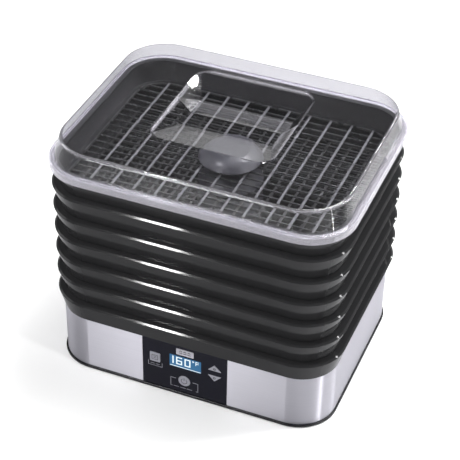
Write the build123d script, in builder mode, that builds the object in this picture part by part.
"""Stacking food dehydrator: powered base, six trays with drying grids, clear lid.

Millimetres. The front, with the control panel, faces -Y, and the feet stand on Z = 0.
"""

import math
import os

from build123d import *

os.makedirs("parts", exist_ok=True)

# Plan outline that every stacked rim shares
RIM_WIDTH = 404.0
RIM_DEPTH = 318.0
RIM_CORNER = 60.0
BEVEL_IN = 2.6
BEVEL_DOWN = 1.8
BEVEL_ROUND = 0.5

# Heights of the stack
FOOT_HEIGHT = 1.6
FOOT_RING_TOP = 4.8
STEEL_TOP = 85.3
BASE_RIM = 113.0
PITCH = 34.1
TRAY_COUNT = 6
SEAT_GAP = 0.3
TOP_RIM = BASE_RIM + TRAY_COUNT * PITCH
LID_TOP = 348.1

# Trays
LEDGE = 10.0
WALL = 2.4
FLANGE = 12.0
FLANGE_THICK = 2.2
SHELF = 18.0
SHELF_THICK = 2.2
LIP_INSET = 12.5
LIP_THICK = 1.8
LIP_DEPTH = 4.0
TRAY_HEIGHT = PITCH - SEAT_GAP

# Drying grid and hub
GRID_FRAME = 2.4
GRID_OVERLAP = 1.0
BAR_COUNT = 19
BAR_PITCH = 13.9
BAR_WIDTH = 1.9
BAR_HEIGHT = 1.8
LONG_COUNT = 11
LONG_PITCH = 29.8
LONG_WIDTH = 3.2
LONG_HEIGHT = 1.2
LONG_FROM = 1.4
HUB_PLATE_RADIUS = 34.0
HUB_HOLE_RADIUS = 24.0
HUB_PEDESTAL_RADIUS = 31.0
HUB_CAP_RADIUS = 43.0
HUB_TOP_RADIUS = 25.0
HUB_CAP_LOW = 9.5
HUB_TOP = 23.5
HUB_WALL = 2.0
HUB_WINDOWS = 8
HUB_WINDOW_WIDTH = 13.0
HUB_WINDOW_HEIGHT = 8.0

# Base shell
FOOT_RING_INSET = 5.0
STEEL_INSET = 7.4
STEEL_THICK = 0.8
HOUSING_THICK = 3.0
HOUSING_INSET = STEEL_INSET + STEEL_THICK
DECK_FOOT_INSET = 7.0
DECK_FLOOR_THICK = 2.4
DECK_FLOOR_TOP = STEEL_TOP + DECK_FLOOR_THICK
FOOT_RADIUS = 9.0
FOOT_STEM_RADIUS = 3.0
FOOT_EDGE = 0.4
PAN_EDGE = 1.0
PAN_RIB_WIDTH = 2.0
PAN_RIB_HEIGHT = 5.0
PAN_POST_RADIUS = 5.0
BOARD_FOOT_RADIUS = 3.5
THROUGH = 40.0
FOOT_X = 150.0
FOOT_Y = 118.0
BOSS_X = 168.0
BOSS_Y = 105.0
BOSS_RADIUS = 6.5
BOSS_SPLIT = 45.0
SCREW_RADIUS = 1.8
SCREW_HEAD_RADIUS = 3.6
SCREW_HEAD_LOW = 7.5
SCREW_HEAD_HEIGHT = 2.5
SCREW_TOP = 62.0
SCREW_PLAY = 0.3
SCREW_SLOT_LENGTH = 3.6
SCREW_SLOT_WIDTH = 0.9
SCREW_SLOT_DEPTH = 1.2

# Air path
OUTLET_RADIUS = 60.0
COLLAR_TOP = 95.0
COLLAR_WALL = 3.0
GRILLE_THICK = 2.0
GRILLE_BAR = 2.0
GRILLE_RINGS = (14.0, 29.0, 44.0)
SHROUD_LOW = 24.0
SHROUD_WALL = 2.2
SHROUD_FLANGE = 8.0
SHROUD_FLANGE_THICK = 2.0
INTAKE_RADIUS = 48.0
INTAKE_PITCH = 9.0
INTAKE_WIDTH = 4.5

# Fan and motor
BRACKET_LOW = 12.0
BRACKET_THICK = 1.5
BRACKET_POST_RADIUS = 56.0
BRACKET_ARM_LENGTH = 52.0
BRACKET_ARM_WIDTH = 12.0
MOTOR_RADIUS = 24.0
MOTOR_TOP = 37.0
MOTOR_NOSE_TOP = 40.0
MOTOR_NOSE_RADIUS = 7.0
MOTOR_EDGE = 2.0
SHAFT_RADIUS = 2.0
SHAFT_CLEARANCE = 0.06
SHAFT_LOW = 17.3
SHAFT_TOP = 61.0
FAN_HUB_LOW = 43.0
FAN_HUB_TOP = 60.0
FAN_HUB_RADIUS = 12.0
FAN_RADIUS = 54.0
BLADE_COUNT = 7
BLADE_CHORD = 26.0
BLADE_THICK = 1.8
BLADE_PITCH_ANGLE = 35.0

# Heater
HEATER_Z = 74.0
HEATER_WIRE = 1.2
HEATER_RINGS = (20.0, 34.0, 48.0)
MICA_THICK = 1.4
MICA_LOW = 64.0
MICA_TOP = 75.0
MICA_REST = 3.0
MICA_REST_WIDTH = 6.0
MICA_REST_HEIGHT = 4.0
CUTOUT_RADIUS = 9.0
CUTOUT_HEIGHT = 4.0
CUTOUT_TAB = (5.0, 8.0, 0.8)
SENSOR_OUT = 13.0
SENSOR_CLIP = (9.0, 12.0, 8.0)
SENSOR_RADIUS = 2.2
SENSOR_LENGTH = 20.0

# Front panel
PANEL_HALF = 60.6
PANEL_GAP = 0.3
PANEL_INSET = 6.6
PANEL_THICK = 3.0
PANEL_LOW = 5.0
PANEL_TOP = 85.1
PANEL_EDGE = 0.7
PANEL_FRONT = RIM_DEPTH / 2 - PANEL_INSET
PANEL_BACK = PANEL_FRONT - PANEL_THICK
WINDOW_HALF = 56.5
WINDOW_LOW = 11.0
WINDOW_TOP = 79.0
BOARD_FRONT = 141.5
BOARD_THICK = 1.6
BOARD_WIDTH = 106.0
BOARD_HEIGHT = 66.0
BOARD_Z = 45.0
BOARD_POST_X = 49.0
BOARD_POST_Z = 29.0
BOARD_POST_RADIUS = 3.0
MARK_THICK = 0.15
MARK_LINE = 0.8
BADGE_X = 1.0
BADGE_Z = 76.4
BADGE_WIDTH = 25.0
BADGE_HEIGHT = 10.2
BADGE_THICK = 0.5
BADGE_RIM = 1.3
BADGE_SUNK = 0.2

# Display
DISPLAY_X = 1.3
DISPLAY_Z = 58.0
DISPLAY_WIDTH = 45.4
DISPLAY_HEIGHT = 20.6
DISPLAY_RECESS = 0.6
DIGIT_HEIGHT = 13.0
DIGIT_WIDTH = 8.6
DIGIT_STROKE = 1.8
UNIT_SCALE = 0.52

# Buttons
BUTTON_PROUD = 0.8
BUTTON_GAP = 0.3
BUTTON_TRAVEL = 0.8
BUTTON_FLANGE = 0.9
BUTTON_EDGE = 0.4
FLANGE_DEPTH = 1.2
STEM_RADIUS = 2.0
STEM_REACH = 1.3
SQUARE_X = -42.2
SQUARE_Z = 55.0
SQUARE_WIDTH = 14.8
SQUARE_HEIGHT = 15.4
ROUND_X = 0.0
ROUND_Z = 26.5
ROUND_RADIUS = 8.4
ARROW_X = 43.3
ARROW_HALF = 9.2
ARROW_HEIGHT = 9.4
UP_BASE_Z = 60.4
DOWN_BASE_Z = 51.6
SWITCH_SIZE = 6.0
SWITCH_DEPTH = 3.0
SWITCH_KNOB = 1.6

# Cable bush at the back
BUSH_X = 120.0
BUSH_Z = 30.0
BUSH_RADIUS = 6.6
BUSH_FLANGE_RADIUS = 9.5
BUSH_BORE = 3.6
BUSH_FLANGE_THICK = 3.0
BUSH_LENGTH = 6.0

# Power board
POWER_X = 118.0
POWER_WIDTH = 80.0
POWER_DEPTH = 70.0
POWER_Z = 14.0
POWER_POST_X = 35.0
POWER_POST_Y = 30.0

# Lid
LID_WALL = 1.8
SKIRT_OUTSET = 1.5
SKIRT_THICK = 1.2
SKIRT_DROP = 8.6
LID_WALL_INSET = 3.6
LID_TOP_INSET = 10.4
LID_TOP_CORNER = 60.0
LID_EDGE_ROUND = 5.0
RIB_WIDTH = 1.6
RIB_PROUD = 0.4
RIB_RISE = 1.2
FRONT_RIBS = (-139.0, -85.0, 85.0, 139.0)
BACK_RIBS = (-97.0, 75.0, 133.0)
SIDE_RIBS = (-68.0, -62.0, 76.0, 82.0)
POCKET_X = -3.0
POCKET_Y = 14.0
POCKET_WIDTH = 168.0
POCKET_LENGTH = 179.0
POCKET_CORNER = 27.0
POCKET_WALL_DROP = 2.1
POCKET_TOP_OVERLAP = 0.6
# Folds across the pocket floor from back to front, and where the side walls are pleated
FOLD_Y = (60.6, 13.5, -17.3)
FOLD_DEPTH = (22.9, 12.4, 12.4)
FOLD_INSET_LEFT = (19.3, 25.0, 19.3)
FOLD_INSET_RIGHT = (19.3, 19.3, 19.3)
PLEAT_Y = (23.1, -11.5)


def outline(inset, corner=None, mode=Mode.ADD):
    """Rounded plan outline, moved in from the shared rim by inset."""
    radius = RIM_CORNER - inset if corner is None else corner
    RectangleRounded(RIM_WIDTH - 2 * inset, RIM_DEPTH - 2 * inset, radius, mode=mode)


def rim_body(low_inset, low, top):
    """Closed block that flares out to the shared rim and ends in a bevelled edge."""
    edge = top - BEVEL_DOWN
    with BuildPart() as body:
        with BuildSketch(Plane.XY.offset(low)):
            outline(low_inset)
        with BuildSketch(Plane.XY.offset(edge)):
            outline(0)
        loft(ruled=True)
        with BuildSketch(Plane.XY.offset(edge)):
            outline(0)
        with BuildSketch(Plane.XY.offset(top)):
            outline(BEVEL_IN)
        loft(ruled=True)
        widest = body.edges().filter_by(lambda e: abs(e.center().Z - edge) < 0.01)
        fillet(widest, BEVEL_ROUND)
    return body.part


def front_plane(distance):
    """Upright plane facing the front, distance in front of the centre."""
    return Plane.XZ.offset(distance)


def save(piece, name):
    """Write one labelled piece to its own file."""
    piece.label = name
    export_step(piece, f"parts/{name}.step")


def build_feet():
    with BuildPart() as feet:
        with BuildSketch():
            with GridLocations(2 * FOOT_X, 2 * FOOT_Y, 2, 2):
                Circle(FOOT_RADIUS)
        extrude(amount=FOOT_HEIGHT)
        with BuildSketch():
            with GridLocations(2 * FOOT_X, 2 * FOOT_Y, 2, 2):
                Circle(FOOT_STEM_RADIUS)
        extrude(amount=FOOT_RING_TOP)
        chamfer(feet.edges().group_by(Axis.Z)[0], FOOT_EDGE)
    save(feet.part, "feet")


def build_base_pan():
    rim = FOOT_RING_TOP - FOOT_HEIGHT
    slot_steps = int(INTAKE_RADIUS // INTAKE_PITCH)
    with BuildPart() as pan:
        with BuildSketch(Plane.XY.offset(FOOT_HEIGHT)):
            outline(FOOT_RING_INSET)
        extrude(amount=rim)
        fillet(pan.edges().group_by(Axis.Z)[-1], PAN_EDGE)
        # Rib inside the housing, posts for the screws, the motor and the board
        with BuildSketch(Plane.XY.offset(FOOT_RING_TOP)):
            outline(HOUSING_INSET + HOUSING_THICK)
            outline(HOUSING_INSET + HOUSING_THICK + PAN_RIB_WIDTH, mode=Mode.SUBTRACT)
        extrude(amount=PAN_RIB_HEIGHT)
        with BuildSketch(Plane.XY.offset(FOOT_RING_TOP)):
            with GridLocations(2 * BOSS_X, 2 * BOSS_Y, 2, 2):
                Circle(BOSS_RADIUS)
        extrude(amount=BOSS_SPLIT - FOOT_RING_TOP)
        with BuildSketch(Plane.XY.offset(FOOT_RING_TOP)):
            with PolarLocations(BRACKET_POST_RADIUS, 3):
                Circle(PAN_POST_RADIUS)
        extrude(amount=BRACKET_LOW - FOOT_RING_TOP)
        with BuildSketch(Plane.XY.offset(FOOT_RING_TOP)):
            with Locations((POWER_X, 0)):
                with GridLocations(2 * POWER_POST_X, 2 * POWER_POST_Y, 2, 2):
                    Circle(BOARD_FOOT_RADIUS)
        extrude(amount=POWER_Z - FOOT_RING_TOP)
        # Screw passages with sunk heads, foot sockets and intake slots
        with BuildSketch():
            with GridLocations(2 * BOSS_X, 2 * BOSS_Y, 2, 2):
                Circle(SCREW_HEAD_RADIUS + SCREW_PLAY)
        extrude(amount=SCREW_HEAD_LOW + SCREW_HEAD_HEIGHT, mode=Mode.SUBTRACT)
        with BuildSketch():
            with GridLocations(2 * BOSS_X, 2 * BOSS_Y, 2, 2):
                Circle(SCREW_RADIUS + SCREW_PLAY)
        extrude(amount=BOSS_SPLIT, mode=Mode.SUBTRACT)
        with BuildSketch():
            with GridLocations(2 * FOOT_X, 2 * FOOT_Y, 2, 2):
                Circle(FOOT_STEM_RADIUS)
        extrude(amount=FOOT_RING_TOP, mode=Mode.SUBTRACT)
        with BuildSketch():
            for step in range(-slot_steps, slot_steps + 1):
                row = step * INTAKE_PITCH
                reach = math.sqrt(INTAKE_RADIUS**2 - row**2)
                with Locations((0, row)):
                    SlotOverall(2 * reach, INTAKE_WIDTH)
        extrude(amount=FOOT_RING_TOP, mode=Mode.SUBTRACT)
    save(pan.part, "base_pan")


def build_steel_band():
    height = STEEL_TOP - FOOT_RING_TOP
    with BuildPart() as band:
        with BuildSketch(Plane.XY.offset(FOOT_RING_TOP)):
            outline(STEEL_INSET)
            outline(HOUSING_INSET, mode=Mode.SUBTRACT)
            with Locations((0, -RIM_DEPTH / 2)):
                Rectangle(2 * (PANEL_HALF + PANEL_GAP), THROUGH, mode=Mode.SUBTRACT)
        extrude(amount=height)
        with BuildSketch(front_plane(-RIM_DEPTH / 2)):
            with Locations((BUSH_X, BUSH_Z)):
                Circle(BUSH_RADIUS)
        extrude(amount=THROUGH, mode=Mode.SUBTRACT)
    save(band.part, "steel_band")


def build_base_housing():
    with BuildPart() as housing:
        with BuildSketch(Plane.XY.offset(FOOT_RING_TOP)):
            outline(HOUSING_INSET)
            outline(HOUSING_INSET + HOUSING_THICK, mode=Mode.SUBTRACT)
        extrude(amount=STEEL_TOP - FOOT_RING_TOP)
        # Seat for the front panel, and the window behind it
        with BuildSketch(front_plane(PANEL_BACK)):
            with Locations((0, (FOOT_RING_TOP + STEEL_TOP) / 2)):
                Rectangle(2 * (PANEL_HALF + PANEL_GAP), STEEL_TOP - FOOT_RING_TOP)
        extrude(amount=10, mode=Mode.SUBTRACT)
        with BuildSketch(front_plane(BOARD_FRONT)):
            with Locations((0, (WINDOW_LOW + WINDOW_TOP) / 2)):
                RectangleRounded(2 * WINDOW_HALF, WINDOW_TOP - WINDOW_LOW, 3)
        extrude(amount=20, mode=Mode.SUBTRACT)
        with BuildSketch(front_plane(-RIM_DEPTH / 2)):
            with Locations((BUSH_X, BUSH_Z)):
                Circle(BUSH_RADIUS)
        extrude(amount=THROUGH, mode=Mode.SUBTRACT)
    save(housing.part, "base_housing")


def build_base_deck():
    with BuildPart() as deck:
        add(rim_body(DECK_FOOT_INSET, STEEL_TOP, BASE_RIM))
        with BuildSketch(Plane.XY.offset(DECK_FLOOR_TOP)):
            outline(DECK_FOOT_INSET + WALL)
        with BuildSketch(Plane.XY.offset(BASE_RIM - FLANGE_THICK)):
            outline(WALL + 0.6)
        loft(ruled=True, mode=Mode.SUBTRACT)
        with BuildSketch(Plane.XY.offset(BASE_RIM)):
            outline(FLANGE)
        extrude(amount=-2 * FLANGE_THICK, mode=Mode.SUBTRACT)
        # Collar round the air outlet, drip-proof above the deck floor
        with BuildSketch(Plane.XY.offset(DECK_FLOOR_TOP)):
            Circle(OUTLET_RADIUS + COLLAR_WALL)
        extrude(amount=COLLAR_TOP - DECK_FLOOR_TOP)
        with BuildSketch(Plane.XY.offset(STEEL_TOP)):
            Circle(OUTLET_RADIUS)
        extrude(amount=COLLAR_TOP - STEEL_TOP, mode=Mode.SUBTRACT)
        # Screw bosses that meet those of the pan
        with BuildSketch(Plane.XY.offset(BOSS_SPLIT)):
            with GridLocations(2 * BOSS_X, 2 * BOSS_Y, 2, 2):
                Circle(BOSS_RADIUS)
        extrude(amount=STEEL_TOP - BOSS_SPLIT)
        with BuildSketch(Plane.XY.offset(BOSS_SPLIT)):
            with GridLocations(2 * BOSS_X, 2 * BOSS_Y, 2, 2):
                Circle(SCREW_RADIUS)
        extrude(amount=SCREW_TOP - BOSS_SPLIT, mode=Mode.SUBTRACT)
    save(deck.part, "base_deck")


def build_outlet_grille():
    outer = OUTLET_RADIUS + COLLAR_WALL
    with BuildPart() as grille:
        with BuildSketch(Plane.XY.offset(COLLAR_TOP)):
            Circle(outer)
            Circle(OUTLET_RADIUS - GRILLE_BAR, mode=Mode.SUBTRACT)
            for radius in GRILLE_RINGS:
                Circle(radius)
                Circle(radius - GRILLE_BAR, mode=Mode.SUBTRACT)
            with PolarLocations(0, 4, angular_range=180):
                Rectangle(2 * OUTLET_RADIUS, GRILLE_BAR)
        extrude(amount=GRILLE_THICK)
    save(grille.part, "outlet_grille")


def build_fan_shroud():
    height = STEEL_TOP - SHROUD_LOW
    with BuildPart() as shroud:
        with BuildSketch(Plane.XY.offset(SHROUD_LOW)):
            Circle(OUTLET_RADIUS + SHROUD_WALL)
        extrude(amount=height)
        with BuildSketch(Plane.XY.offset(STEEL_TOP)):
            Circle(OUTLET_RADIUS + SHROUD_FLANGE)
        extrude(amount=-SHROUD_FLANGE_THICK)
        with BuildSketch(Plane.XY.offset(SHROUD_LOW)):
            Circle(OUTLET_RADIUS)
        extrude(amount=height, mode=Mode.SUBTRACT)
        # Four rests under the ends of the heater supports
        with BuildSketch(Plane.XY.offset(MICA_LOW - MICA_REST_HEIGHT)):
            with PolarLocations(OUTLET_RADIUS - MICA_REST / 2 + 1, 4):
                Rectangle(MICA_REST + 1, MICA_REST_WIDTH)
        extrude(amount=MICA_REST_HEIGHT)
    save(shroud.part, "fan_shroud")


def build_heater_supports():
    with BuildPart() as supports:
        with BuildSketch(Plane.XY.offset(MICA_LOW)):
            Rectangle(2 * (OUTLET_RADIUS - 0.2), MICA_THICK)
            Rectangle(MICA_THICK, 2 * (OUTLET_RADIUS - 0.2))
        extrude(amount=MICA_TOP - MICA_LOW)
        # Open notches that carry the heating rings
        notch = HEATER_WIRE * 2
        for radius in HEATER_RINGS:
            with BuildSketch(Plane.XY.offset(HEATER_Z - HEATER_WIRE)):
                Circle(radius + notch / 2)
                Circle(radius - notch / 2, mode=Mode.SUBTRACT)
            extrude(amount=5, mode=Mode.SUBTRACT)
    save(supports.part, "heater_supports")


def build_heater_coil():
    inner, outer = HEATER_RINGS[0], HEATER_RINGS[-1]
    with BuildPart() as coil:
        for radius in HEATER_RINGS:
            with Locations((0, 0, HEATER_Z)):
                Torus(radius, HEATER_WIRE)
        middle = (inner + outer) / 2 * math.cos(math.radians(45))
        with Locations(Location((middle, middle, HEATER_Z), (0, 0, 45))):
            Cylinder(HEATER_WIRE, outer - inner, rotation=(0, 90, 0))
    save(coil.part, "heater_coil")


def build_thermal_cutout():
    with BuildPart() as cutout:
        with BuildSketch(Plane.XY.offset(MICA_TOP)):
            Circle(CUTOUT_RADIUS)
        extrude(amount=CUTOUT_HEIGHT)
        fillet(cutout.edges().group_by(Axis.Z)[-1], 1)
        with BuildSketch(Plane.XY.offset(MICA_TOP)):
            with Locations((0, CUTOUT_RADIUS + 2), (0, -CUTOUT_RADIUS - 2)):
                Rectangle(CUTOUT_TAB[0], CUTOUT_TAB[1])
        extrude(amount=CUTOUT_TAB[2])
    save(cutout.part, "thermal_cutout")


def build_temperature_sensor():
    with BuildPart() as sensor:
        with Locations((OUTLET_RADIUS + SENSOR_OUT, 0, DECK_FLOOR_TOP + SENSOR_CLIP[2] / 2)):
            Box(*SENSOR_CLIP)
        with Locations((OUTLET_RADIUS + SENSOR_OUT, 0, DECK_FLOOR_TOP + SENSOR_CLIP[2])):
            Cylinder(SENSOR_RADIUS, SENSOR_LENGTH, rotation=(90, 0, 0))
    save(sensor.part, "temperature_sensor")


def build_motor_bracket():
    with BuildPart() as bracket:
        with BuildSketch(Plane.XY.offset(BRACKET_LOW)):
            Circle(MOTOR_RADIUS + 3)
            with PolarLocations(BRACKET_POST_RADIUS - 19, 3):
                SlotOverall(BRACKET_ARM_LENGTH, BRACKET_ARM_WIDTH)
            with PolarLocations(BRACKET_POST_RADIUS, 3):
                Circle(SCREW_RADIUS, mode=Mode.SUBTRACT)
        extrude(amount=BRACKET_THICK)
    save(bracket.part, "motor_bracket")


def build_motor_body():
    bottom = BRACKET_LOW + BRACKET_THICK
    with BuildPart() as motor:
        with BuildSketch(Plane.XY.offset(bottom)):
            Circle(MOTOR_RADIUS)
        extrude(amount=MOTOR_TOP - bottom)
        fillet(motor.edges().group_by(Axis.Z)[-1], MOTOR_EDGE)
        with BuildSketch(Plane.XY.offset(MOTOR_TOP)):
            Circle(MOTOR_NOSE_RADIUS)
        extrude(amount=MOTOR_NOSE_TOP - MOTOR_TOP)
        with BuildSketch(Plane.XY.offset(SHAFT_LOW - 0.3)):
            Circle(SHAFT_RADIUS + SHAFT_CLEARANCE)
        extrude(amount=MOTOR_NOSE_TOP, mode=Mode.SUBTRACT)
    save(motor.part, "motor_body")


def build_fan_rotor():
    middle = (FAN_HUB_LOW + FAN_HUB_TOP) / 2
    root = FAN_HUB_RADIUS - 3
    with BuildPart() as rotor:
        with Locations((0, 0, middle)):
            with PolarLocations((root + FAN_RADIUS + 4) / 2, BLADE_COUNT):
                Box(
                    FAN_RADIUS + 4 - root,
                    BLADE_CHORD,
                    BLADE_THICK,
                    rotation=(BLADE_PITCH_ANGLE, 0, 0),
                )
            Cylinder(FAN_RADIUS, 3 * BLADE_CHORD, mode=Mode.INTERSECT)
        with BuildSketch(Plane.XY.offset(FAN_HUB_LOW)):
            Circle(FAN_HUB_RADIUS)
        extrude(amount=FAN_HUB_TOP - FAN_HUB_LOW)
        with BuildSketch(Plane.XY.offset(SHAFT_LOW)):
            Circle(SHAFT_RADIUS)
        extrude(amount=SHAFT_TOP - SHAFT_LOW)
    save(rotor.part, "fan_rotor")


def build_motor_screws():
    low = BRACKET_LOW + BRACKET_THICK
    with BuildPart() as screws:
        with BuildSketch(Plane.XY.offset(low)):
            with PolarLocations(BRACKET_POST_RADIUS, 3):
                Circle(SCREW_HEAD_RADIUS)
        extrude(amount=2)
        chamfer(screws.edges().group_by(Axis.Z)[-1], 0.5)
        with BuildSketch(Plane.XY.offset(BRACKET_LOW)):
            with PolarLocations(BRACKET_POST_RADIUS, 3):
                Circle(SCREW_RADIUS)
        extrude(amount=BRACKET_THICK)
    save(screws.part, "motor_screws")


def build_base_screws():
    with BuildPart() as screws:
        with BuildSketch(Plane.XY.offset(SCREW_HEAD_LOW)):
            with GridLocations(2 * BOSS_X, 2 * BOSS_Y, 2, 2):
                Circle(SCREW_HEAD_RADIUS)
        extrude(amount=SCREW_HEAD_HEIGHT)
        with BuildSketch(Plane.XY.offset(SCREW_HEAD_LOW)):
            with GridLocations(2 * BOSS_X, 2 * BOSS_Y, 2, 2):
                Circle(SCREW_RADIUS)
        extrude(amount=SCREW_TOP - SCREW_HEAD_LOW)
        # Cross recess in each head
        with BuildSketch(Plane.XY.offset(SCREW_HEAD_LOW)):
            with GridLocations(2 * BOSS_X, 2 * BOSS_Y, 2, 2):
                Rectangle(SCREW_SLOT_LENGTH, SCREW_SLOT_WIDTH)
                Rectangle(SCREW_SLOT_WIDTH, SCREW_SLOT_LENGTH)
        extrude(amount=SCREW_SLOT_DEPTH, mode=Mode.SUBTRACT)
    save(screws.part, "base_screws")


def build_cable_bush():
    back = RIM_DEPTH / 2 - STEEL_INSET
    with BuildPart() as bush:
        with BuildSketch(front_plane(-back)):
            with Locations((BUSH_X, BUSH_Z)):
                Circle(BUSH_FLANGE_RADIUS)
        extrude(amount=-BUSH_FLANGE_THICK)
        with BuildSketch(front_plane(-back)):
            with Locations((BUSH_X, BUSH_Z)):
                Circle(BUSH_RADIUS)
        extrude(amount=BUSH_LENGTH)
        fillet(bush.edges().group_by(Axis.Y)[-1], 1)
        with BuildSketch(front_plane(-back - BUSH_FLANGE_THICK - 1)):
            with Locations((BUSH_X, BUSH_Z)):
                Circle(BUSH_BORE)
        extrude(amount=THROUGH, mode=Mode.SUBTRACT)
    save(bush.part, "cable_bush")


def build_power_board():
    with BuildPart() as board:
        with BuildSketch(Plane.XY.offset(POWER_Z)):
            with Locations((POWER_X, 0)):
                Rectangle(POWER_WIDTH, POWER_DEPTH)
        extrude(amount=BOARD_THICK)
    save(board.part, "power_board")


def build_power_parts():
    top = POWER_Z + BOARD_THICK
    with BuildPart() as parts:
        for x, y, width, depth, height in (
            (-22, -16, 20, 16, 15),
            (8, 14, 32, 27, 24),
            (-24, 18, 12, 22, 11),
        ):
            with BuildSketch(Plane.XY.offset(top)):
                with Locations((POWER_X + x, y)):
                    RectangleRounded(width, depth, 1)
            extrude(amount=height)
        with BuildSketch(Plane.XY.offset(top)):
            with Locations((POWER_X + 10, -18), (POWER_X + 28, -18)):
                Circle(6.5)
        extrude(amount=20)
    save(parts.part, "power_parts")


def button_shape(name, grow=0.0):
    """Outline of one button, grown by a margin, in the open sketch."""
    if name == "button_mode":
        with Locations((SQUARE_X, SQUARE_Z)):
            RectangleRounded(SQUARE_WIDTH + 2 * grow, SQUARE_HEIGHT + 2 * grow, 1.2)
    elif name == "button_start":
        with Locations((ROUND_X, ROUND_Z)):
            Circle(ROUND_RADIUS + grow)
    elif name == "button_up":
        grown_arrow(UP_BASE_Z, 1, grow)
    else:
        grown_arrow(DOWN_BASE_Z, -1, grow)


def grown_arrow(base_z, direction, grow):
    """Triangle with every side moved out by grow."""
    half_angle = math.atan2(ARROW_HEIGHT, ARROW_HALF) / 2
    side = ARROW_HALF + grow / math.tan(half_angle)
    rise = ARROW_HEIGHT + grow + grow / math.cos(2 * half_angle)
    low = base_z - direction * grow
    corners = [(ARROW_X - side, low), (ARROW_X + side, low), (ARROW_X, low + direction * rise)]
    Polygon(*corners, align=None)


def button_middle(name):
    """Point on the panel where the stem of a button stands."""
    if name == "button_mode":
        return (SQUARE_X, SQUARE_Z)
    if name == "button_start":
        return (ROUND_X, ROUND_Z)
    if name == "button_up":
        return (ARROW_X, UP_BASE_Z + 3.2)
    return (ARROW_X, DOWN_BASE_Z - 3.2)


BUTTONS = ("button_mode", "button_start", "button_up", "button_down")


def build_buttons():
    cap_front = PANEL_FRONT + BUTTON_PROUD
    flange_front = PANEL_BACK - BUTTON_GAP
    for name in BUTTONS:
        with BuildPart() as button:
            with BuildSketch(front_plane(cap_front)):
                button_shape(name)
            extrude(amount=-(cap_front - flange_front))
            with BuildSketch(front_plane(flange_front)):
                button_shape(name, BUTTON_FLANGE)
            extrude(amount=-FLANGE_DEPTH)
            with BuildSketch(front_plane(flange_front - FLANGE_DEPTH)):
                with Locations(button_middle(name)):
                    Circle(STEM_RADIUS)
            extrude(amount=-STEM_REACH)
            fillet(button.edges().group_by(Axis.Y)[0], BUTTON_EDGE)
        save(button.part, name)


def build_button_switches():
    knob_front = PANEL_BACK - BUTTON_GAP - FLANGE_DEPTH - STEM_REACH - BUTTON_TRAVEL - BUTTON_GAP
    with BuildPart() as switches:
        for name in BUTTONS:
            with BuildSketch(front_plane(BOARD_FRONT)):
                with Locations(button_middle(name)):
                    Rectangle(SWITCH_SIZE, SWITCH_SIZE)
            extrude(amount=SWITCH_DEPTH)
            with BuildSketch(front_plane(BOARD_FRONT)):
                with Locations(button_middle(name)):
                    Circle(SWITCH_KNOB)
            extrude(amount=knob_front - BOARD_FRONT)
    save(switches.part, "button_switches")


def build_control_board():
    with BuildPart() as board:
        with BuildSketch(front_plane(BOARD_FRONT)):
            with Locations((0, BOARD_Z)):
                Rectangle(BOARD_WIDTH, BOARD_HEIGHT)
        extrude(amount=-BOARD_THICK)
    save(board.part, "control_board")


def build_panel_bezel():
    middle = (PANEL_LOW + PANEL_TOP) / 2
    with BuildPart() as bezel:
        with BuildSketch(front_plane(PANEL_FRONT)):
            with Locations((0, middle)):
                Rectangle(2 * PANEL_HALF, PANEL_TOP - PANEL_LOW)
        extrude(amount=-PANEL_THICK)
        chamfer(bezel.edges().group_by(Axis.Y)[0], PANEL_EDGE)
        with BuildSketch(front_plane(PANEL_BACK)):
            with Locations((0, BOARD_Z)):
                with GridLocations(2 * BOARD_POST_X, 2 * BOARD_POST_Z, 2, 2):
                    Circle(BOARD_POST_RADIUS)
        extrude(amount=-(PANEL_BACK - BOARD_FRONT))
        with BuildSketch(front_plane(PANEL_FRONT)):
            with Locations((DISPLAY_X, DISPLAY_Z)):
                Rectangle(DISPLAY_WIDTH, DISPLAY_HEIGHT)
            for name in BUTTONS:
                button_shape(name, BUTTON_GAP)
        extrude(amount=-PANEL_THICK, mode=Mode.SUBTRACT)
    save(bezel.part, "panel_bezel")


def build_display():
    face = PANEL_FRONT - DISPLAY_RECESS
    with BuildPart() as screen:
        with BuildSketch(front_plane(face)):
            with Locations((DISPLAY_X, DISPLAY_Z)):
                Rectangle(DISPLAY_WIDTH, DISPLAY_HEIGHT)
        extrude(amount=-(face - PANEL_BACK))
    save(screen.part, "display_face")
    with BuildPart() as module:
        with BuildSketch(front_plane(PANEL_BACK)):
            with Locations((DISPLAY_X, DISPLAY_Z)):
                Rectangle(DISPLAY_WIDTH + 4, DISPLAY_HEIGHT + 4)
        extrude(amount=-(PANEL_BACK - BOARD_FRONT))
    save(module.part, "display_module")


SEGMENTS = {
    "1": "bc",
    "6": "acdefg",
    "0": "abcdef",
    "F": "aefg",
}


def digit(symbol, left, low, scale):
    """One seven-segment character, its lower left corner at left, low."""
    width = DIGIT_WIDTH * scale
    height = DIGIT_HEIGHT * scale
    stroke = DIGIT_STROKE * scale
    middle = left + width / 2
    half = height / 2 + stroke / 2
    level = {
        "a": (middle, low + height - stroke / 2),
        "g": (middle, low + height / 2),
        "d": (middle, low + stroke / 2),
    }
    upright = {
        "f": (left + stroke / 2, low + height - half / 2),
        "b": (left + width - stroke / 2, low + height - half / 2),
        "e": (left + stroke / 2, low + half / 2),
        "c": (left + width - stroke / 2, low + half / 2),
    }
    for key in SEGMENTS[symbol]:
        if key in level:
            with Locations(level[key]):
                Rectangle(width, stroke)
        else:
            with Locations(upright[key]):
                Rectangle(stroke, half)


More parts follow.
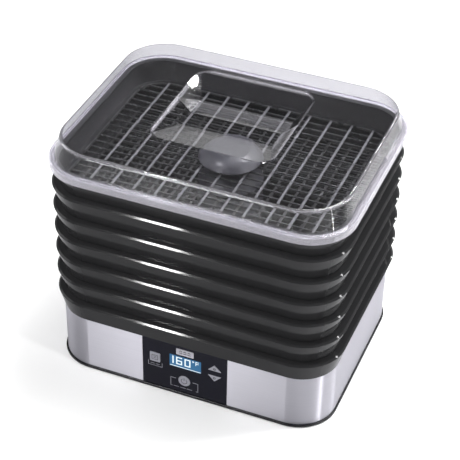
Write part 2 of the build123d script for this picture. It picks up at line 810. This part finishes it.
def build_display_digits():
    low = DISPLAY_Z - 5.2
    with BuildPart() as digits:
        with BuildSketch(front_plane(PANEL_FRONT - DISPLAY_RECESS)):
            digit("1", DISPLAY_X - 25.4, low, 1)
            digit("6", DISPLAY_X - 13.2, low, 1)
            digit("0", DISPLAY_X - 1.2, low, 1)
            unit_low = low + DIGIT_HEIGHT * (1 - UNIT_SCALE)
            digit("F", DISPLAY_X + 14.6, unit_low, UNIT_SCALE)
            with Locations((DISPLAY_X + 11.2, low + DIGIT_HEIGHT - 1.3)):
                Circle(1.3)
                Circle(0.6, mode=Mode.SUBTRACT)
            with Locations((DISPLAY_X, DISPLAY_Z - DISPLAY_HEIGHT / 2 + 1.2)):
                Rectangle(DISPLAY_WIDTH - 1.2, 1.0)
        extrude(amount=MARK_THICK)
    save(digits.part, "display_digits")


def stroke_line(points):
    """Thin printed line through the points, in the open sketch."""
    for start, end in zip(points[:-1], points[1:]):
        length = math.dist(start, end) + MARK_LINE
        angle = math.degrees(math.atan2(end[1] - start[1], end[0] - start[0]))
        middle = ((start[0] + end[0]) / 2, (start[1] + end[1]) / 2)
        with Locations(Location((middle[0], middle[1]), angle)):
            Rectangle(length, MARK_LINE)


def build_panel_marks():
    with BuildPart() as marks:
        with BuildSketch(front_plane(PANEL_FRONT)):
            # Brackets either side of the round button, with a dashed bar below it
            for side in (-1, 1):
                stroke_line(
                    [
                        (side * 12.5, 27.6),
                        (side * 19.6, 27.6),
                        (side * 19.6, 13.2),
                        (side * 17.2, 13.2),
                    ]
                )
            for start in (-15.0, -5.5, 4.0):
                stroke_line([(start, 13.4), (start + 7.0, 13.4)])
            # Bracket under the square button, with a dashed bar inside it
            stroke_line([(-52.0, 46.0), (-52.0, 39.6), (-32.0, 39.6), (-32.0, 46.0)])
            for start in (-48.5, -41.0):
                stroke_line([(start, 43.0), (start + 5.0, 43.0)])
        extrude(amount=MARK_THICK)
    save(marks.part, "panel_marks")


def build_badge_plate():
    with BuildPart() as badge:
        with BuildSketch(front_plane(PANEL_FRONT)):
            with Locations((BADGE_X, BADGE_Z)):
                RectangleRounded(BADGE_WIDTH, BADGE_HEIGHT, 1)
        extrude(amount=BADGE_THICK)
        with BuildSketch(front_plane(PANEL_FRONT + BADGE_THICK)):
            with Locations((BADGE_X, BADGE_Z)):
                RectangleRounded(BADGE_WIDTH - 2 * BADGE_RIM, BADGE_HEIGHT - 2 * BADGE_RIM, 0.6)
        extrude(amount=-BADGE_SUNK, mode=Mode.SUBTRACT)
    save(badge.part, "badge_plate")


def build_trays():
    with BuildPart() as tray:
        add(rim_body(LEDGE, 0, TRAY_HEIGHT))
        # Inside of the tray, its mouth and the opening for the grid
        with BuildSketch(Plane.XY.offset(SHELF_THICK)):
            outline(LEDGE + WALL)
        with BuildSketch(Plane.XY.offset(TRAY_HEIGHT - FLANGE_THICK)):
            outline(WALL + 0.6)
        loft(ruled=True, mode=Mode.SUBTRACT)
        with BuildSketch(Plane.XY.offset(TRAY_HEIGHT)):
            outline(FLANGE)
        extrude(amount=-2 * FLANGE_THICK, mode=Mode.SUBTRACT)
        with BuildSketch():
            outline(SHELF)
        extrude(amount=SHELF_THICK, mode=Mode.SUBTRACT)
        # Lip that drops inside the rim below
        with BuildSketch():
            outline(LIP_INSET)
            outline(LIP_INSET + LIP_THICK, mode=Mode.SUBTRACT)
        extrude(amount=-LIP_DEPTH)
    for number in range(1, TRAY_COUNT + 1):
        low = BASE_RIM + SEAT_GAP + (number - 1) * PITCH
        save(tray.part.moved(Location((0, 0, low))), f"tray_{number}")


def build_grids():
    bar_length = RIM_WIDTH - 2 * SHELF
    long_length = RIM_DEPTH - 2 * SHELF
    with BuildPart() as grid:
        with BuildSketch():
            outline(SHELF)
            outline(SHELF + GRID_FRAME, mode=Mode.SUBTRACT)
        extrude(amount=SHELF_THICK)
        with BuildSketch():
            with GridLocations(0, BAR_PITCH, 1, BAR_COUNT):
                Rectangle(bar_length, BAR_WIDTH)
            outline(SHELF + GRID_OVERLAP, mode=Mode.INTERSECT)
            Circle(HUB_HOLE_RADIUS, mode=Mode.SUBTRACT)
        extrude(amount=BAR_HEIGHT)
        with BuildSketch(Plane.XY.offset(LONG_FROM)):
            with GridLocations(LONG_PITCH, 0, LONG_COUNT, 1):
                Rectangle(LONG_WIDTH, long_length)
            outline(SHELF + GRID_OVERLAP, mode=Mode.INTERSECT)
            Circle(HUB_HOLE_RADIUS, mode=Mode.SUBTRACT)
        extrude(amount=LONG_HEIGHT)
        with BuildSketch():
            Circle(HUB_PLATE_RADIUS)
            Circle(HUB_HOLE_RADIUS, mode=Mode.SUBTRACT)
        extrude(amount=LONG_FROM + LONG_HEIGHT)
    for number in range(1, TRAY_COUNT + 1):
        low = BASE_RIM + SEAT_GAP + (number - 1) * PITCH
        save(grid.part.moved(Location((0, 0, low))), f"grid_{number}")


def build_hubs():
    foot = LONG_FROM + LONG_HEIGHT
    shoulder = HUB_TOP - 3.0
    with BuildPart() as hub:
        # Flared cap, a thin shell with a flat top
        with BuildSketch(Plane.XZ):
            with BuildLine():
                Line((0, HUB_TOP), (HUB_TOP_RADIUS, HUB_TOP))
                Spline(
                    (HUB_TOP_RADIUS, HUB_TOP),
                    (HUB_TOP_RADIUS + 7.0, shoulder),
                    (HUB_CAP_RADIUS, HUB_CAP_LOW),
                )
                Line((HUB_CAP_RADIUS, HUB_CAP_LOW), (HUB_CAP_RADIUS - HUB_WALL, HUB_CAP_LOW))
                Spline(
                    (HUB_CAP_RADIUS - HUB_WALL, HUB_CAP_LOW),
                    (HUB_TOP_RADIUS + 5.6, shoulder - HUB_WALL),
                    (HUB_TOP_RADIUS - 0.6, HUB_TOP - HUB_WALL),
                )
                Line((HUB_TOP_RADIUS - 0.6, HUB_TOP - HUB_WALL), (0, HUB_TOP - HUB_WALL))
                Line((0, HUB_TOP - HUB_WALL), (0, HUB_TOP))
            make_face()
        revolve(axis=Axis.Z)
        # Pedestal wall with windows for the air
        with BuildSketch(Plane.XY.offset(foot)):
            Circle(HUB_PEDESTAL_RADIUS)
            Circle(HUB_PEDESTAL_RADIUS - HUB_WALL, mode=Mode.SUBTRACT)
        extrude(amount=HUB_TOP - 4.0 - foot)
        with Locations((0, 0, foot + 2 + HUB_WINDOW_HEIGHT / 2)):
            with PolarLocations(HUB_PEDESTAL_RADIUS, HUB_WINDOWS):
                Box(10, HUB_WINDOW_WIDTH, HUB_WINDOW_HEIGHT, mode=Mode.SUBTRACT)
    for number in range(1, TRAY_COUNT + 1):
        low = BASE_RIM + SEAT_GAP + (number - 1) * PITCH
        save(hub.part.moved(Location((0, 0, low))), f"hub_{number}")


def facet(*corners):
    """Flat face through its corners."""
    return Face(Wire.make_polygon([Vector(*corner) for corner in corners]))


def pocket_block(drop, grow, top):
    """Faceted block of the hand pocket, lowered by drop and widened by grow."""
    front = POCKET_Y - POCKET_LENGTH / 2 - grow
    back = POCKET_Y + POCKET_LENGTH / 2 + grow
    rims = []
    folds = []
    for side, insets in ((-1, FOLD_INSET_LEFT), (1, FOLD_INSET_RIGHT)):
        edge = POCKET_X + side * POCKET_WIDTH / 2
        rims.append([(edge + side * grow, y, top) for y in (back, *PLEAT_Y, front)])
        folds.append(
            [
                (edge + side * (grow - inset), y, LID_TOP - depth - drop)
                for y, depth, inset in zip(FOLD_Y, FOLD_DEPTH, insets)
            ]
        )
    faces = [
        facet(*rims[0], *reversed(rims[1])),
        facet(rims[0][0], folds[0][0], folds[1][0], rims[1][0]),
        facet(rims[0][-1], folds[0][-1], folds[1][-1], rims[1][-1]),
    ]
    for step in range(len(FOLD_Y) - 1):
        faces.append(facet(folds[0][step], folds[0][step + 1], folds[1][step + 1], folds[1][step]))
    for rim, fold in zip(rims, folds):
        for step in range(len(fold)):
            faces.append(facet(rim[step], rim[step + 1], fold[step]))
        for step in range(len(fold) - 1):
            faces.append(facet(rim[step + 1], fold[step], fold[step + 1]))
    return Solid(Shell(faces))


def pocket_form(drop, grow, top):
    """Pocket block with the rounded plan outline of its mouth."""
    low = LID_TOP - max(FOLD_DEPTH) - drop
    with BuildPart() as form:
        add(pocket_block(drop, grow, top))
        with BuildSketch(Plane.XY.offset(low - 1)):
            with Locations((POCKET_X, POCKET_Y)):
                RectangleRounded(POCKET_WIDTH + 2 * grow, POCKET_LENGTH + 2 * grow, POCKET_CORNER + grow)
        extrude(amount=top - low + 2, mode=Mode.INTERSECT)
    return form.part


def lid_ribs(low, top):
    """Short upright ribs round the skirt that run over the flange to the wall."""
    reach = SKIRT_OUTSET + RIB_PROUD + LID_WALL_INSET + LID_WALL / 2
    half_x = RIM_WIDTH / 2 + SKIRT_OUTSET + RIB_PROUD - reach / 2
    half_y = RIM_DEPTH / 2 + SKIRT_OUTSET + RIB_PROUD - reach / 2
    with BuildPart() as ribs:
        with BuildSketch(Plane.XY.offset(low)):
            with Locations(*[(x, -half_y) for x in FRONT_RIBS], *[(x, half_y) for x in BACK_RIBS]):
                Rectangle(RIB_WIDTH, reach)
            with Locations(*[(side * half_x, y) for side in (-1, 1) for y in SIDE_RIBS]):
                Rectangle(reach, RIB_WIDTH)
        extrude(amount=top - low)
    return ribs.part


def build_lid():
    seat = TOP_RIM + SEAT_GAP
    skirt_low = TOP_RIM - SKIRT_DROP
    with BuildPart() as lid:
        # Outer body, then the skirt band, the flange that rests on the top tray, and the ribs
        with BuildSketch(Plane.XY.offset(seat)):
            outline(LID_WALL_INSET)
        with BuildSketch(Plane.XY.offset(LID_TOP)):
            outline(LID_TOP_INSET, LID_TOP_CORNER)
        loft(ruled=True)
        fillet(lid.edges().group_by(Axis.Z)[-1], LID_EDGE_ROUND)
        with BuildSketch(Plane.XY.offset(skirt_low)):
            outline(-SKIRT_OUTSET)
        extrude(amount=SKIRT_DROP + SEAT_GAP + LID_WALL)
        add(lid_ribs(skirt_low, seat + LID_WALL + RIB_RISE))
        # Room for the tray rim under the flange
        with BuildSketch(Plane.XY.offset(skirt_low)):
            outline(SKIRT_THICK - SKIRT_OUTSET)
        extrude(amount=SKIRT_DROP + SEAT_GAP, mode=Mode.SUBTRACT)
        # Hollow of the lid
        with BuildSketch(Plane.XY.offset(seat)):
            outline(LID_WALL_INSET + LID_WALL)
        with BuildSketch(Plane.XY.offset(LID_TOP - LID_WALL)):
            outline(LID_TOP_INSET + LID_WALL, LID_TOP_CORNER - LID_WALL)
        loft(ruled=True, mode=Mode.SUBTRACT)
        # Hand pocket: a folded dish let down from the top
        add(pocket_form(POCKET_WALL_DROP, LID_WALL, LID_TOP - POCKET_TOP_OVERLAP))
        add(pocket_form(0, 0, LID_TOP), mode=Mode.SUBTRACT)
    save(lid.part, "lid")


build_feet()
build_base_pan()
build_steel_band()
build_base_housing()
build_base_deck()
build_outlet_grille()
build_fan_shroud()
build_heater_supports()
build_heater_coil()
build_thermal_cutout()
build_temperature_sensor()
build_motor_bracket()
build_motor_body()
build_fan_rotor()
build_motor_screws()
build_base_screws()
build_cable_bush()
build_power_board()
build_power_parts()
build_buttons()
build_button_switches()
build_control_board()
build_panel_bezel()
build_display()
build_display_digits()
build_panel_marks()
build_badge_plate()
build_trays()
build_grids()
build_hubs()
build_lid()
